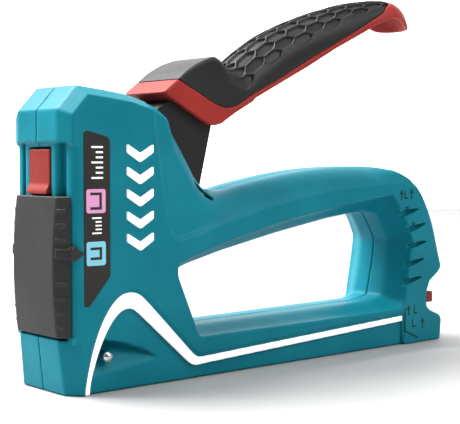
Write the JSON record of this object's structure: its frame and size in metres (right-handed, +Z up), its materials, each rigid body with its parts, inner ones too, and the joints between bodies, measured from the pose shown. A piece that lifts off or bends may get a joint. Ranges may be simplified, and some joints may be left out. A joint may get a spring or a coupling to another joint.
{
  "type": "staple gun",
  "caption": "Hand tacker with a squeeze lever, spring-driven blade, sliding staple selector and pull-out magazine in a moulded two-shell body.",
  "frame": {"origin": "middle of the bounding box at the flat base the tool stands on", "axes": "+X from the nose to the rear foot, +Y to the tool's right-hand side, +Z up from the base"},
  "size_m": [0.1786, 0.035, 0.1331],
  "materials": {
    "teal_shell": "fine spark-eroded texture, satin",
    "white_trim": "smooth",
    "scale_print": "smooth printed plate",
    "white_badge": "smooth",
    "plated_steel": "zinc plated",
    "polished_pin": "ground",
    "black_screw": "black oxide",
    "spring_steel": "drawn wire",
    "red_frame": "satin moulded nylon",
    "grip_rubber": "soft overmould with hexagon cells",
    "black_nylon": "satin moulded nylon",
    "forged_steel": "phosphated",
    "bronze": "sintered",
    "red_nylon": "satin moulded nylon",
    "pusher_metal": "die cast",
    "staple_wire": "galvanised wire"
  },
  "bodies": {
    "root": {"left_housing": "teal_shell", "right_housing": "teal_shell", "left_stripe": "white_trim", "right_stripe": "white_trim", "left_scale_plate": "scale_print", "right_scale_plate": "scale_print", "left_badge": "white_badge", "right_badge": "white_badge", "nose_plate": "plated_steel", "nose_pins": "polished_pin", "magazine_channel": "plated_steel", "lever_pivot_pin": "polished_pin", "rocker_pin": "polished_pin", "housing_screws": "black_screw", "main_spring": "spring_steel", "spring_seat": "plated_steel", "catch_spring": "spring_steel", "staple_strip": "staple_wire"},
    "lever": {"lever_frame": "red_frame", "lever_grip": "grip_rubber", "lever_arm": "black_nylon", "lever_roller": "polished_pin", "roller_pin": "polished_pin"},
    "lifter": {"rocker": "forged_steel", "rocker_bush": "bronze"},
    "hammer": {"driver_blade": "plated_steel", "hammer_carrier": "forged_steel", "blade_rivets": "polished_pin"},
    "selector": {"selector_slider": "black_nylon"},
    "catch": {"catch_button": "red_nylon"},
    "magazine": {"magazine_rail": "plated_steel", "magazine_end_cap": "red_nylon", "guide_rod": "polished_pin", "rear_catch_spring": "spring_steel", "pusher_spring": "spring_steel"},
    "magazine_catch": {"rear_catch": "red_nylon"},
    "pusher": {"staple_pusher": "pusher_metal"}
  },
  "joints": [
    {"name": "lever_squeeze", "type": "hinge", "parent": "root", "child": "lever", "pos_m": [-0.0692, 0, 0.08], "axis": [0, 1, 0], "range_deg": [0, 22], "stiffness_Nm_per_rad": 1.2, "springref_deg": -28.65},
    {"name": "rocker_swing", "type": "hinge", "parent": "root", "child": "lifter", "pos_m": [-0.0572, 0, 0.048], "axis": [0, 1, 0], "range_deg": [0, 33.2]},
    {"name": "hammer_lift", "type": "slide", "parent": "root", "child": "hammer", "axis": [0, 0, 1], "range_m": [0, 0.012], "deforming": ["main_spring"]},
    {"name": "selector_slide", "type": "slide", "parent": "root", "child": "selector", "axis": [0, 0, 1], "range_m": [0, 0.0155]},
    {"name": "catch_press", "type": "slide", "parent": "root", "child": "catch", "axis": [1, 0, 0], "range_m": [0, 0.0012], "stiffness_N_per_m": 400, "springref_m": -0.001},
    {"name": "magazine_slide", "type": "slide", "parent": "root", "child": "magazine", "axis": [1, 0, 0], "range_m": [0, 0.11]},
    {"name": "magazine_catch_press", "type": "slide", "parent": "magazine", "child": "magazine_catch", "axis": [0, 0, -1], "range_m": [0, 0.0022], "stiffness_N_per_m": 400, "springref_m": -0.001, "deforming": ["rear_catch_spring"]},
    {"name": "pusher_slide", "type": "slide", "parent": "magazine", "child": "pusher", "axis": [1, 0, 0], "range_m": [0, 0.075], "stiffness_N_per_m": 30, "springref_m": -0.06}
  ],
  "couplings": [
    {"joint": "rocker_swing", "follows": "lever_squeeze", "ratio": 1.5091},
    {"joint": "hammer_lift", "follows": "lever_squeeze", "m_per_rad": 0.031242}
  ]
}
